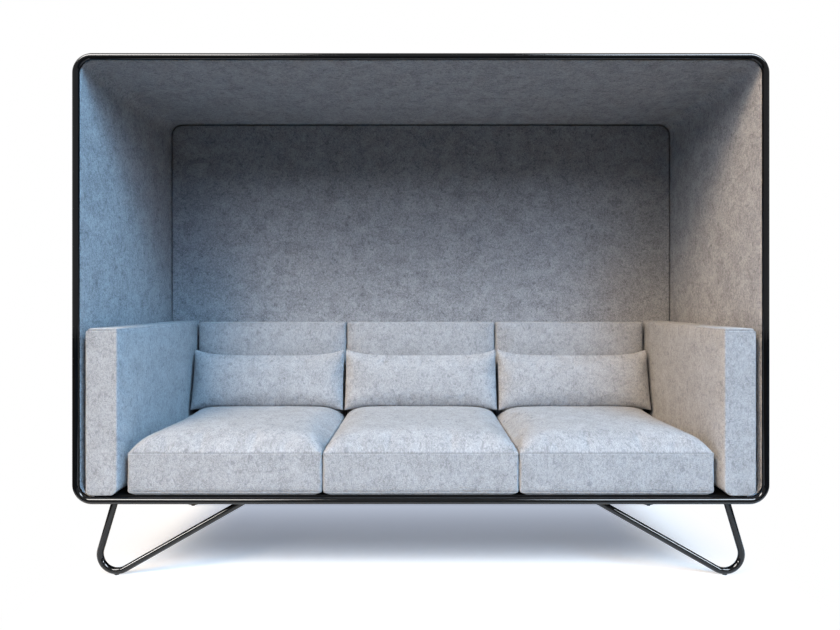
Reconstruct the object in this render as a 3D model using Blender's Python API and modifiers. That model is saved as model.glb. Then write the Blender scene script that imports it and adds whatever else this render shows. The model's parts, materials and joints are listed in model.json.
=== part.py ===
"""A three-seat sofa inside a felt-covered sleeve: side walls, roof, back and floor in one rounded
rectangle, trimmed in front by a bent tube and carried by four bent tube legs.

Metres, +Z up. The origin lies on the floor under the middle of the sofa, the front faces -Y.
"""

import math

import bmesh
import bpy
from mathutils import Matrix, Vector
from mathutils.bvhtree import BVHTree

# Overall sizes
WIDTH = 2.200
DEPTH = 0.800
HEIGHT = 1.672
UNDERSIDE = 0.252  # floor to the sleeve's underside
CORNER = 0.063  # outer radius of the sleeve's and the ring's corners

# Clearances
GAP = 0.0003  # between pieces that touch
SOFT_GAP = 0.0006  # between cushions that touch

# Trim ring and its studs
TUBE = 0.0213  # diameter of ring and legs
STUD = 0.006
STUD_REACH = 0.022  # how far a stud goes into the board behind the ring
WALL_STUDS = 3
ROOF_STUDS = 4

# Sleeve: core boards between a felt cover and a felt lining
SHELL = 0.018
FELT = 0.003
BACK_BOARD = 0.018

# Back panel inside the sleeve
PANEL_THICK = 0.060
PANEL_SHADOW_GAP = 0.006
PANEL_CORNER_EASE = 0.003  # the panel's corner is this much rounder than the lining's
PANEL_EDGE = 0.005  # rounding of its edges

# Arms
ARM_WIDTH = 0.104
ARM_HEIGHT = 0.533
ARM_SETBACK = 0.029  # behind the front of the ring
ARM_WALL_GAP = 0.013
ARM_OUTER_TOP = 0.018  # radius of the upper edge beside the wall
ARM_INNER_TOP = 0.008
ARM_INNER_CORNER = 0.028
ARM_OUTER_EASE = 0.003  # the outer lower corner is this much tighter than the lining's
ARM_EDGE = 0.006
ARM_CORE = 0.040
ARM_CORE_INSET = 0.034  # foam over the core's ends and top

# Cushions
CUSHION_COUNT = 3
CUSHION_JOINT = 0.003  # gap between neighbours
CUSHION_ARM_GAP = 0.023
SEAT_SETBACK = 0.037
SEAT_HEIGHT = 0.134  # up to the seam round the top
SEAT_CROWN = 0.065
SEAT_LOWER_SEAM = 0.011
SEAT_TUCK = 0.005  # how far the underside draws in below the lower seam
SIDE_DRAW = 0.004  # how far a side draws in between its corners
BACK_DEPTH = 0.079
BACK_HEIGHT = 0.529
BACK_CROWN = 0.016
LUMBAR_SIDE_GAP = 0.0015  # each side, to the width of its seat cushion
LUMBAR_HEIGHT = 0.238
LUMBAR_FRONT = 0.058  # swell in front of the seam
LUMBAR_REAR = 0.040  # swell behind the seam
LUMBAR_RIM = 0.004  # half the thickness of the sewn edge
LUMBAR_TOP_DIP = 0.025  # how far the top edge sags between its corners
LUMBAR_SIDE_DIP = 0.002
LUMBAR_DROOP = 0.012  # how far the lower corners hang below the seat's crown
LUMBAR_LEAN = math.radians(12)
LUMBAR_BACK_GAP = 0.004

# Legs, glides and under-frame
LEG_SETBACK = 0.069  # plane of a leg behind the front, or before the rear
LEG_INSET = 0.1115  # centre of the foot's bend inside the overall width
FOOT_BEND = 0.055  # radius on the tube's centreline
SHORT_LIMB = math.radians(16.4)  # from the vertical
LONG_LIMB = math.radians(29.6)  # from the horizontal
GLIDE = 0.016
GLIDE_HEIGHT = 0.005
GLIDE_SOLE = 0.001  # nylon between tube and floor
BEAM = 0.018
BEAM_WALL = 0.002
BEAM_END = 0.012  # from the beam's cap to where the sleeve's corner starts to bend
CAP_PLATE = 0.002
CAP_PLUG = 0.014

# Derived places
HALF = WIDTH / 2
FRONT = -DEPTH / 2
REAR = DEPTH / 2
DECK = UNDERSIDE + SHELL
STRAIGHT = HALF - CORNER  # where the corners start to bend
SLEEVE_FRONT = FRONT + TUBE + GAP
BOARD_REAR = REAR - FELT - GAP
BOARD_FRONT = BOARD_REAR - BACK_BOARD
SLEEVE_REAR = BOARD_FRONT - GAP
PANEL_FRONT = SLEEVE_REAR - PANEL_THICK
LINING_FACE = HALF - SHELL
CORE_OUT = FELT + GAP
CORE_IN = SHELL - FELT - GAP
ARM_OUTER = LINING_FACE - ARM_WALL_GAP
ARM_INNER = ARM_OUTER - ARM_WIDTH
ARM_REAR = PANEL_FRONT - GAP
PITCH = 2 * (ARM_INNER - CUSHION_ARM_GAP) / CUSHION_COUNT
CUSHION_WIDTH = PITCH - CUSHION_JOINT
BACK_FRONT = ARM_REAR - BACK_DEPTH
SEAT_FRONT = FRONT + SEAT_SETBACK
SEAT_REAR = BACK_FRONT - SOFT_GAP
BEAM_TOP = UNDERSIDE - GAP
BEAM_FOOT = BEAM_TOP - BEAM
FOOT_X = HALF - LEG_INSET
FOOT_Z = GLIDE_SOLE + TUBE / 2 + FOOT_BEND
LEG_PLANE = REAR - LEG_SETBACK
BEAM_HALF = STRAIGHT - BEAM_END

# Fineness of round shapes
ARC_STEPS = 7
BEND_STEPS = 14
TUBE_SIDES = 4  # bevel resolution: 12 sides
EDGE_STEPS = 1
ROD_SIDES = 12
GLIDE_SIDES = 16
WELD = 0.00001
SMOOTH_ANGLE = math.radians(35)

for old in list(bpy.data.objects):
    bpy.data.objects.remove(old, do_unlink=True)

parts = bpy.data.collections.new("high_back_sofa")
cutters = bpy.data.collections.new("cutters")
bpy.context.scene.collection.children.link(parts)
bpy.context.scene.collection.children.link(cutters)
cutters.hide_render = True

root = bpy.data.objects.new("sofa_origin", None)
parts.objects.link(root)


def finish(name, colour, roughness, metallic=0.0):
    """A plain surface with the colour, gloss and metal of one finish."""
    made = bpy.data.materials.new(name)
    made.use_nodes = True
    shader = made.node_tree.nodes["Principled BSDF"]
    shader.inputs["Base Color"].default_value = (*colour, 1.0)
    shader.inputs["Roughness"].default_value = roughness
    shader.inputs["Metallic"].default_value = metallic
    made.diffuse_color = (*colour, 1.0)
    return made


FELT_GREY = finish("grey_melange_felt", (0.33, 0.34, 0.36), 0.95)
PANEL_GREY = finish("back_panel_felt", (0.28, 0.29, 0.31), 0.95)
BLACK_STEEL = finish("black_powder_coat", (0.012, 0.012, 0.013), 0.22, 0.6)
BLACK_BOARD = finish("black_stained_plywood", (0.015, 0.015, 0.016), 0.6)
PLYWOOD = finish("birch_plywood", (0.62, 0.47, 0.30), 0.55)
NYLON = finish("black_nylon", (0.02, 0.02, 0.02), 0.5)


def place(name, data, material, location=(0, 0, 0), rotation=(0, 0, 0), parent=root):
    """Links one sub-part to the sofa, with its own material."""
    obj = bpy.data.objects.new(name, data)
    obj.data.materials.clear()
    obj.data.materials.append(material)
    obj.location = location
    obj.rotation_euler = rotation
    obj.parent = parent
    parts.objects.link(obj)
    return obj


def as_cutter(obj):
    """Moves a helper out of the model, for Booleans only."""
    for home in list(obj.users_collection):
        home.objects.unlink(obj)
    cutters.objects.link(obj)
    obj.hide_render = True
    obj.display_type = "WIRE"
    return obj


def boolean(obj, other, operation):
    modifier = obj.modifiers.new(operation.lower(), "BOOLEAN")
    modifier.operation = operation
    modifier.object = other
    modifier.solver = "EXACT"


def smooth(mesh):
    mesh.shade_smooth()
    mesh.set_sharp_from_angle(angle=SMOOTH_ANGLE)


def arc(centre, radius, start, end, steps=ARC_STEPS):
    """Points on a circle from one angle to another, in degrees, both ends included."""
    points = []
    for step in range(steps + 1):
        angle = math.radians(start + (end - start) * step / steps)
        x = centre[0] + radius * math.cos(angle)
        points.append((x, centre[1] + radius * math.sin(angle)))
    return points


def rounded_outline(low, high, radii):
    """A rectangle with four corner radii: lower right, upper right, upper left, lower left."""
    right_low, right_high, left_high, left_low = radii
    points = arc((high[0] - right_low, low[1] + right_low), right_low, -90, 0)
    points += arc((high[0] - right_high, high[1] - right_high), right_high, 0, 90)
    points += arc((low[0] + left_high, high[1] - left_high), left_high, 90, 180)
    points += arc((low[0] + left_low, low[1] + left_low), left_low, 180, 270)
    return points


def sleeve_outline(offset):
    """The sleeve's rounded rectangle, this far inside its outer face."""
    low = (offset - HALF, UNDERSIDE + offset)
    high = (HALF - offset, HEIGHT - offset)
    return rounded_outline(low, high, [CORNER - offset] * 4)


def sleeve_run(offset, sides):
    """Part of that outline as an open path: the right wall, the left wall or the whole arch."""
    radius = CORNER - offset
    top = HEIGHT - CORNER
    bottom = UNDERSIDE + CORNER
    right = arc((STRAIGHT, bottom), radius, -90, 0) + arc((STRAIGHT, top), radius, 0, 90)
    left = arc((-STRAIGHT, top), radius, 90, 180) + arc((-STRAIGHT, bottom), radius, 180, 270)
    return {"right": right, "left": left, "arch": right + left}[sides]


def flat_curve(name, loops, thickness, edge=0.0):
    """A filled outline, extruded, whose inner loops are holes and whose edges may be rounded."""
    curve = bpy.data.curves.new(name, "CURVE")
    curve.dimensions = "2D"
    curve.fill_mode = "BOTH"
    curve.extrude = thickness / 2 - edge
    curve.bevel_depth = edge
    curve.bevel_resolution = EDGE_STEPS
    curve.offset = -edge
    for loop in loops:
        spline = curve.splines.new("POLY")
        spline.points.add(len(loop) - 1)
        for point, (x, y) in zip(spline.points, loop):
            point.co = (x, y, 0, 1)
        spline.use_cyclic_u = True
    return curve


STANDING = (math.pi / 2, 0, 0)  # an outline drawn in x and y stands in x and z
ALONG_X = (math.pi / 2, 0, math.pi / 2)  # and here in y and z


def standing_board(name, loops, front, rear, material, edge=0.0):
    """A board seen from the front: its outline in x and z, from one y to another."""
    curve = flat_curve(name, loops, rear - front, edge)
    return place(name, curve, material, (0, (front + rear) / 2, 0), STANDING)


def tube_curve(name, points, diameter, closed=False):
    curve = bpy.data.curves.new(name, "CURVE")
    curve.dimensions = "3D"
    curve.bevel_depth = diameter / 2
    curve.bevel_resolution = TUBE_SIDES
    curve.use_fill_caps = not closed
    spline = curve.splines.new("POLY")
    spline.points.add(len(points) - 1)
    for point, co in zip(spline.points, points):
        point.co = (*co, 1)
    spline.use_cyclic_u = closed
    return curve


def meshed(obj):
    """The same sub-part as a mesh with its caps welded, so that it can be cut or joined."""
    bpy.context.view_layer.update()
    graph = bpy.context.evaluated_depsgraph_get()
    name = obj.name
    mesh = bpy.data.meshes.new_from_object(obj.evaluated_get(graph))
    bm = bmesh.new()
    bm.from_mesh(mesh)
    bmesh.ops.remove_doubles(bm, verts=bm.verts, dist=WELD)
    bmesh.ops.recalc_face_normals(bm, faces=bm.faces)
    bm.to_mesh(mesh)
    bm.free()
    smooth(mesh)
    matrix = obj.matrix_world.copy()
    material = obj.data.materials[0]
    bpy.data.objects.remove(obj, do_unlink=True)
    mesh.name = name
    made = place(name, mesh, material)
    made.matrix_world = matrix
    return made


def box_mesh(name, size):
    """A box with its origin in the middle of its underside."""
    bm = bmesh.new()
    bmesh.ops.create_cube(bm, size=1.0)
    bmesh.ops.scale(bm, vec=size, verts=bm.verts)
    bmesh.ops.translate(bm, vec=(0, 0, size[2] / 2), verts=bm.verts)
    mesh = bpy.data.meshes.new(name)
    bm.to_mesh(mesh)
    bm.free()
    return mesh


def box(name, low, high, material):
    size = [b - a for a, b in zip(low, high)]
    centre = ((low[0] + high[0]) / 2, (low[1] + high[1]) / 2, low[2])
    return place(name, box_mesh(name, size), material, centre)


def rod_bundle(name, points, diameter, start, end, material):
    """Rods that run along Y from start to end, each at one (x, z)."""
    bm = bmesh.new()
    lying = Matrix.Rotation(math.pi / 2, 4, "X")
    for x, z in points:
        middle = Matrix.Translation((x, (start + end) / 2, z))
        bmesh.ops.create_cone(
            bm, cap_ends=True, segments=ROD_SIDES, radius1=diameter / 2, radius2=diameter / 2,
            depth=end - start, matrix=middle @ lying,
        )
    mesh = bpy.data.meshes.new(name)
    bm.to_mesh(mesh)
    bm.free()
    return place(name, mesh, material)


def spread(low, high, count):
    """Evenly spaced values, half a step inside each end."""
    step = (high - low) / count
    return [low + (index + 0.5) * step for index in range(count)]


# Trim ring: one bent and butt-welded tube, with studs on its back
tube_line = TUBE / 2
ring_path = [(x, 0, z) for x, z in sleeve_outline(tube_line)]
ring_curve = tube_curve("front_ring", ring_path, TUBE, closed=True)
front_ring = meshed(place("front_ring", ring_curve, BLACK_STEEL, (0, FRONT + tube_line, 0)))

wall_heights = spread(UNDERSIDE + CORNER, HEIGHT - CORNER, WALL_STUDS)
run_places = spread(-STRAIGHT, STRAIGHT, ROOF_STUDS)
stud_places = [(side * (HALF - SHELL / 2), z) for side in (-1, 1) for z in wall_heights]
stud_places += [(x, HEIGHT - SHELL / 2) for x in run_places]
stud_places += [(x, UNDERSIDE + SHELL / 2) for x in run_places]
stud_tip = SLEEVE_FRONT + STUD_REACH
studs = rod_bundle("ring_studs", stud_places, STUD, FRONT + tube_line, stud_tip, BLACK_STEEL)
boolean(front_ring, as_cutter(studs), "UNION")
stud_holes = as_cutter(rod_bundle(
    "stud_holes", stud_places, STUD + 2 * GAP, SLEEVE_FRONT - TUBE, stud_tip + GAP, BLACK_STEEL))

# Sleeve: bent wall cores, a flat roof core and a flat floor, butted where the corners end
for side in ("left", "right"):
    name = f"{side}_wall_core"
    outline = sleeve_run(CORE_OUT, side) + sleeve_run(CORE_IN, side)[::-1]
    core = meshed(standing_board(name, [outline], SLEEVE_FRONT, SLEEVE_REAR, PLYWOOD))
    boolean(core, stud_holes, "DIFFERENCE")

roof_core = box(
    "roof_core",
    (GAP - STRAIGHT, SLEEVE_FRONT, HEIGHT - CORE_IN),
    (STRAIGHT - GAP, SLEEVE_REAR, HEIGHT - CORE_OUT),
    PLYWOOD,
)
boolean(roof_core, stud_holes, "DIFFERENCE")

floor_board = box(
    "floor_board",
    (GAP - STRAIGHT, SLEEVE_FRONT, UNDERSIDE),
    (STRAIGHT - GAP, SLEEVE_REAR, DECK),
    BLACK_BOARD,
)
boolean(floor_board, stud_holes, "DIFFERENCE")

cover_outline = sleeve_run(0, "arch") + sleeve_run(FELT, "arch")[::-1]
standing_board("canopy_cover", [cover_outline], SLEEVE_FRONT, BOARD_REAR, FELT_GREY)
lining_outline = sleeve_run(SHELL - FELT, "arch") + sleeve_run(SHELL, "arch")[::-1]
standing_board("canopy_lining", [lining_outline], SLEEVE_FRONT, SLEEVE_REAR, FELT_GREY)

# Back: a board that closes the sleeve, felt behind it and a padded panel before it
standing_board("back_board", [sleeve_outline(CORE_OUT)], BOARD_FRONT, BOARD_REAR, PLYWOOD)
standing_board("back_cover", [sleeve_outline(0)], REAR - FELT, REAR, FELT_GREY)
panel_half = LINING_FACE - PANEL_SHADOW_GAP
panel_low = (-panel_half, DECK + GAP)
panel_high = (panel_half, HEIGHT - SHELL - PANEL_SHADOW_GAP)
panel_corner = CORNER - SHELL + PANEL_CORNER_EASE
panel_outline = rounded_outline(panel_low, panel_high, [panel_corner] * 4)
standing_board("back_panel", [panel_outline], PANEL_FRONT, SLEEVE_REAR, PANEL_GREY, PANEL_EDGE)

# Arms: a core board on the floor, with a foam and felt sleeve pulled over it from above
arm_top = DECK + ARM_HEIGHT
arm_front = FRONT + ARM_SETBACK
core_left = (ARM_INNER + ARM_OUTER - ARM_CORE) / 2
core_right = core_left + ARM_CORE
core_front = arm_front + ARM_CORE_INSET
core_rear = ARM_REAR - ARM_CORE_INSET
core_top = arm_top - ARM_CORE_INSET
outer_corner = CORNER - SHELL - ARM_OUTER_EASE
for side, sign in (("left", -1), ("right", 1)):
    core_x = sorted((sign * core_left, sign * core_right))
    box(
        f"{side}_arm_core",
        (core_x[0], core_front, DECK + GAP),
        (core_x[1], core_rear, core_top),
        PLYWOOD,
    )
    arm_x = sorted((sign * ARM_INNER, sign * ARM_OUTER))
    radii = [outer_corner, ARM_OUTER_TOP, ARM_INNER_TOP, ARM_INNER_CORNER]
    if sign < 0:
        radii = [ARM_INNER_CORNER, ARM_INNER_TOP, ARM_OUTER_TOP, outer_corner]
    outline = rounded_outline((arm_x[0], DECK + GAP), (arm_x[1], arm_top), radii)
    arm = meshed(standing_board(f"{side}_arm", [outline], arm_front, ARM_REAR, FELT_GREY, ARM_EDGE))
    pocket = box(
        f"{side}_arm_pocket",
        (core_x[0] - GAP, core_front - GAP, UNDERSIDE),
        (core_x[1] + GAP, core_rear + GAP, core_top + GAP),
        FELT_GREY,
    )
    boolean(arm, as_cutter(pocket), "DIFFERENCE")


def cage(size, loops):
    """A box cage on its underside, with an edge loop at each share of half a side."""
    bm = bmesh.new()
    bmesh.ops.create_cube(bm, size=1.0)
    bmesh.ops.scale(bm, vec=size, verts=bm.verts)
    for axis, shares in enumerate(loops):
        normal = Vector([float(axis == other) for other in range(3)])
        for share in shares:
            bmesh.ops.bisect_plane(
                bm, geom=bm.verts[:] + bm.edges[:] + bm.faces[:],
                plane_co=normal * (share * size[axis] / 2), plane_no=normal,
            )
    return bm


def crease_between(bm, value, belongs):
    """Sharpens the edges whose two ends both belong to a seam."""
    crease = bm.edges.layers.float.new("crease_edge")
    for edge in bm.edges:
        if all(belongs(vert.co) for vert in edge.verts):
            edge[crease] = value


def soft_object(name, bm, location, rotation=(0, 0, 0), parent=root):
    """A cushion: the cage under one level of subdivision."""
    mesh = bpy.data.meshes.new(name)
    bm.to_mesh(mesh)
    bm.free()
    mesh.shade_smooth()
    obj = place(name, mesh, FELT_GREY, location, rotation, parent)
    modifier = obj.modifiers.new("softness", "SUBSURF")
    modifier.levels = 1
    modifier.render_levels = 1
    return obj


def dome(u, v, power_u, power_v):
    """1 in the middle of a face and 0 along its edges and past them, which are at -1 and 1."""
    return (1 - min(abs(u), 1) ** power_u) * (1 - min(abs(v), 1) ** power_v)


EDGE_SHARE = 0.999  # at or beyond this share of half a side, a point lies on that side

# Each cushion's edge loops, as shares of half a side, how flat it swells across and along (a higher
# power is flatter in the middle and steeper at the rim), and how sharp its seams are
SEAT_ACROSS = (-0.92, -0.6, 0, 0.6, 0.92)
SEAT_ALONG = (-0.92, -0.7, -0.3, 0.3, 0.7, 0.92)
SEAT_SWELL = (8, 8)
SEAT_SEAM = 0.75
BACK_LOOPS = (-0.9, -0.5, 0, 0.5, 0.9)
BACK_SWELL = (6, 6)
BACK_SEAM = 0.6
LUMBAR_ACROSS = (-0.94, -0.65, 0, 0.65, 0.94)
LUMBAR_ALONG = (-0.86, -0.5, 0, 0.5, 0.86)
LUMBAR_SWELL = (8, 2)
LUMBAR_SAG = 3.5  # how flat its top edge sags
LUMBAR_CORNER = 6  # how close to its ends the lower corners hang
LUMBAR_SEAM = 0.7


def seat_cushion_cage(size):
    """Boxed sides up to a seam, a crowned top, and an underside drawn in below a lower seam."""
    lower_seam = 2 * SEAT_LOWER_SEAM / size[2] - 1
    bm = cage(size, (SEAT_ACROSS, SEAT_ALONG, (lower_seam,)))
    crease_between(bm, SEAT_SEAM, lambda co: abs(abs(co.z) - size[2] / 2) < WELD and max(
        abs(co.x) / size[0], abs(co.y) / size[1]) > EDGE_SHARE / 2)
    for vert in bm.verts:
        u = 2 * vert.co.x / size[0]
        v = 2 * vert.co.y / size[1]
        w = 2 * vert.co.z / size[2]
        if w > EDGE_SHARE:
            vert.co.z += SEAT_CROWN * dome(u, v, *SEAT_SWELL)
        inset = SEAT_TUCK if w < -EDGE_SHARE else 0
        if abs(u) > EDGE_SHARE:
            vert.co.x -= math.copysign(inset + SIDE_DRAW * (1 - v * v), u)
        if abs(v) > EDGE_SHARE:
            vert.co.y -= math.copysign(inset + SIDE_DRAW * (1 - u * u), v)
    return bm


def back_cushion_cage(size):
    """A slab whose front swells and whose top and sides draw in between the corners."""
    bm = cage(size, (BACK_LOOPS, (), BACK_LOOPS))
    crease_between(bm, BACK_SEAM, lambda co: abs(abs(co.y) - size[1] / 2) < WELD and max(
        abs(co.x) / size[0], abs(co.z) / size[2]) > EDGE_SHARE / 2)
    for vert in bm.verts:
        u = 2 * vert.co.x / size[0]
        v = 2 * vert.co.z / size[2]
        if vert.co.y < 0:
            vert.co.y += BACK_CROWN * (1 - dome(u, v, *BACK_SWELL))
        if abs(u) > EDGE_SHARE:
            vert.co.x -= math.copysign(SIDE_DRAW * (1 - v * v), u)
        if v > EDGE_SHARE:
            vert.co.z -= SIDE_DRAW * (1 - u * u)
    return bm


def lumbar_cage(width):
    """A knife-edged pillow: swollen in the middle, thin round the seam, with pointed corners."""
    size = (width, 2 * LUMBAR_RIM, LUMBAR_HEIGHT)
    bm = cage(size, (LUMBAR_ACROSS, (), LUMBAR_ALONG))
    crease_between(bm, LUMBAR_SEAM, lambda co: max(
        abs(co.x) / size[0], abs(co.z) / size[2]) > EDGE_SHARE / 2)
    for vert in bm.verts:
        u = 2 * vert.co.x / size[0]
        v = 2 * vert.co.z / size[2]
        swell = LUMBAR_REAR if vert.co.y > 0 else LUMBAR_FRONT
        fullness = math.sqrt(dome(u, v, *LUMBAR_SWELL))
        vert.co.y += math.copysign((swell - LUMBAR_RIM) * fullness, vert.co.y)
        vert.co.x *= 1 - 2 * LUMBAR_SIDE_DIP / width * (1 - v * v)
        if v > 0:
            vert.co.z -= v * LUMBAR_TOP_DIP * (1 - abs(u) ** LUMBAR_SAG)
        else:
            vert.co.z += v * LUMBAR_DROOP * abs(u) ** LUMBAR_CORNER
    return bm


def world_points(obj):
    bpy.context.view_layer.update()
    graph = bpy.context.evaluated_depsgraph_get()
    mesh = obj.evaluated_get(graph).to_mesh()
    points = [obj.matrix_world @ vert.co for vert in mesh.vertices]
    obj.evaluated_get(graph).to_mesh_clear()
    return points


def world_tree(obj):
    points = world_points(obj)
    graph = bpy.context.evaluated_depsgraph_get()
    mesh = obj.evaluated_get(graph).to_mesh()
    tree = BVHTree.FromPolygons(points, [face.vertices[:] for face in mesh.polygons])
    obj.evaluated_get(graph).to_mesh_clear()
    return tree


def free_way(obj, support, direction):
    """How far obj can move along direction before it meets support."""
    direction = Vector(direction)
    ways = []
    for points, tree, way in (
        (world_points(obj), world_tree(support), direction),
        (world_points(support), world_tree(obj), -direction),
    ):
        for point in points:
            distance = tree.ray_cast(point, way)[3]
            if distance is not None:
                ways.append(distance)
    return min(ways)


# Cushions: back cushions against the panel, seat cushions before them, pillows on the seats
seat_size = (CUSHION_WIDTH, SEAT_REAR - SEAT_FRONT, SEAT_HEIGHT)
back_size = (CUSHION_WIDTH, BACK_DEPTH, BACK_HEIGHT)
lumbar_width = CUSHION_WIDTH - 2 * LUMBAR_SIDE_GAP
lumbar_start = Vector((0, BACK_FRONT - 2 * LUMBAR_REAR, DECK + SEAT_HEIGHT + LUMBAR_HEIGHT))
for place_name, step in (("left", -1), ("middle", 0), ("right", 1)):
    x = step * PITCH
    back = soft_object(
        f"{place_name}_back_cushion", back_cushion_cage(back_size),
        (x, ARM_REAR - BACK_DEPTH / 2, DECK + GAP + BACK_HEIGHT / 2))
    seat = soft_object(
        f"{place_name}_seat_cushion", seat_cushion_cage(seat_size),
        (x, (SEAT_FRONT + SEAT_REAR) / 2, DECK + GAP + SEAT_HEIGHT / 2))
    lumbar = soft_object(
        f"{place_name}_lumbar_pillow", lumbar_cage(lumbar_width),
        lumbar_start + Vector((x, 0, 0)), (-LUMBAR_LEAN, 0, 0))
    lumbar.location.y += free_way(lumbar, back, (0, 1, 0)) - LUMBAR_BACK_GAP
    lumbar.location.z -= free_way(lumbar, seat, (0, 0, -1)) - SOFT_GAP


def leg_path(sign, stretch):
    """Centreline of one leg in x and z: short limb, round foot, long limb, both ends run long."""
    top = BEAM_FOOT + stretch
    start = math.degrees(SHORT_LIMB)
    end = -90 - math.degrees(LONG_LIMB)
    foot = arc((FOOT_X, FOOT_Z), FOOT_BEND, start, end, BEND_STEPS)
    short_rise = top - foot[0][1]
    long_rise = top - foot[-1][1]
    short_end = (foot[0][0] - short_rise * math.tan(SHORT_LIMB), top)
    long_end = (foot[-1][0] - long_rise / math.tan(LONG_LIMB), top)
    return [(sign * x, 0, z) for x, z in [short_end] + foot + [long_end]]


# Under-frame: two square tubes under the floor, cross tubes between them, plastic end caps
square = [(-BEAM / 2, -BEAM / 2), (BEAM / 2, -BEAM / 2), (BEAM / 2, BEAM / 2), (-BEAM / 2, BEAM / 2)]
bore_share = 1 - 2 * BEAM_WALL / BEAM
bore = [(x * bore_share, y * bore_share) for x, y in square]
beam_z = (BEAM_TOP + BEAM_FOOT) / 2
plug = BEAM * bore_share - 2 * GAP
for end, y in (("front", -LEG_PLANE), ("rear", LEG_PLANE)):
    beam_curve = flat_curve(f"{end}_beam", [square, bore], 2 * BEAM_HALF)
    place(f"{end}_beam", beam_curve, BLACK_STEEL, (0, y, beam_z), ALONG_X)
    for side, sign in (("left", -1), ("right", 1)):
        inner_x, seat_x, outer_x = (
            sign * value for value in
            (BEAM_HALF - CAP_PLUG, BEAM_HALF + GAP, BEAM_HALF + GAP + CAP_PLATE))
        plate_x = sorted((seat_x, outer_x))
        cap = box(
            f"{end}_{side}_beam_cap",
            (plate_x[0], y - BEAM / 2, BEAM_FOOT),
            (plate_x[1], y + BEAM / 2, BEAM_TOP),
            NYLON,
        )
        plug_x = sorted((inner_x, (seat_x + outer_x) / 2))
        stopper = box(
            f"{end}_{side}_plug",
            (plug_x[0], y - plug / 2, beam_z - plug / 2),
            (plug_x[1], y + plug / 2, beam_z + plug / 2),
            NYLON,
        )
        boolean(cap, as_cutter(stopper), "UNION")

long_limb_end = abs(leg_path(1, 0)[-1][0])
cross_half = LEG_PLANE - BEAM / 2 - GAP
for name, x in (("left", -long_limb_end), ("middle", 0), ("right", long_limb_end)):
    cross_curve = flat_curve(f"{name}_cross_beam", [square, bore], 2 * cross_half)
    place(f"{name}_cross_beam", cross_curve, BLACK_STEEL, (x, 0, beam_z), STANDING)

# Legs: one tube each, bent to a V and cut flush under its beam, with a glide under the bend
for end, y in (("front", -LEG_PLANE), ("rear", LEG_PLANE)):
    for side, sign in (("left", -1), ("right", 1)):
        name = f"{end}_{side}_leg"
        path = leg_path(sign, BEAM)
        leg = meshed(place(name, tube_curve(name, path, TUBE), BLACK_STEEL, (0, y, 0)))
        mitre = box(
            f"{name}_mitre",
            (-HALF, y - TUBE, BEAM_FOOT - GAP),
            (HALF, y + TUBE, BEAM_TOP + BEAM),
            BLACK_STEEL,
        )
        boolean(leg, as_cutter(mitre), "DIFFERENCE")
        saddle_curve = tube_curve(f"{name}_saddle", path, TUBE + 2 * GAP)
        saddle = meshed(place(f"{name}_saddle", saddle_curve, NYLON, (0, y, 0)))
        bm = bmesh.new()
        bmesh.ops.create_cone(
            bm, cap_ends=True, segments=GLIDE_SIDES, radius1=GLIDE / 2, radius2=GLIDE / 2,
            depth=GLIDE_HEIGHT, matrix=Matrix.Translation((0, 0, GLIDE_HEIGHT / 2)))
        glide_mesh = bpy.data.meshes.new(f"{end}_{side}_glide")
        bm.to_mesh(glide_mesh)
        bm.free()
        glide = place(f"{end}_{side}_glide", glide_mesh, NYLON, (sign * FOOT_X, y, 0))
        boolean(glide, as_cutter(saddle), "DIFFERENCE")
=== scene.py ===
"""A three-seat sofa in grey wool felt with walls and a roof, trimmed with black steel tube."""

import json
import math

import bmesh
import bpy
from mathutils import Matrix, Vector, noise
from mathutils.bvhtree import BVHTree

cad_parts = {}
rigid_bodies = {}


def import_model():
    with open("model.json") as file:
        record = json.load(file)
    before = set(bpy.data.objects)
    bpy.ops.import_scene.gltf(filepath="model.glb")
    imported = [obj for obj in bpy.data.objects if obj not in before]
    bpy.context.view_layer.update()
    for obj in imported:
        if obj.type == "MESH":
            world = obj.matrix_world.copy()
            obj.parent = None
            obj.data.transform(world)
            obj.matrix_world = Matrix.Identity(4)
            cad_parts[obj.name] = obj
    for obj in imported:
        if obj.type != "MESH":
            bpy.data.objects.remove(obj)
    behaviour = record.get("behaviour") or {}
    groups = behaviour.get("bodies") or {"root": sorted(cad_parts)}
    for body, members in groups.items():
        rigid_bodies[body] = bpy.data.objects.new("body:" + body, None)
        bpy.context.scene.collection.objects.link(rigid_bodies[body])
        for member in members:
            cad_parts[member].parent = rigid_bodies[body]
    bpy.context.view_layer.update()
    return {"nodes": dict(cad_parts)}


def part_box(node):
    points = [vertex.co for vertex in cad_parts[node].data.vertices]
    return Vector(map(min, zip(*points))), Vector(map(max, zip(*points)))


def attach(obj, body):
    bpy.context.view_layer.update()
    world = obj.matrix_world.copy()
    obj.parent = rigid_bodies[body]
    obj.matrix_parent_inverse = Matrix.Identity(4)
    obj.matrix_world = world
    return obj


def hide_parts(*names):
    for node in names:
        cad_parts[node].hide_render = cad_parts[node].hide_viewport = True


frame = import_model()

# Legs: four V-shaped legs, each one length of round steel tube bent tightly at the foot, cut flush
# and welded under the beams. They are powder coated in gloss black after welding.
ENDS = ("front", "rear")
SIDES = (("left", -1), ("right", 1))
leg_low, leg_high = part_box("front_right_leg")
TUBE = leg_high.y - leg_low.y
TUBE_SIDES = 40
FOOT_BEND = 0.055
FOOT_STEPS = 40
SHORT_LIMB = math.radians(16.4)  # from the vertical
LONG_LIMB = math.radians(29.6)  # from the horizontal
WELD_BEAD = 0.0018
WELD_PITCH = 0.0021
WELD_POINTS = 48


def srgb(code):
    """An sRGB hex colour as linear RGBA."""
    parts = [int(code[place:place + 2], 16) / 255 for place in (1, 3, 5)]
    linear = [c / 12.92 if c <= 0.04045 else ((c + 0.055) / 1.055) ** 2.4 for c in parts]
    return (*linear, 1.0)


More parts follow.
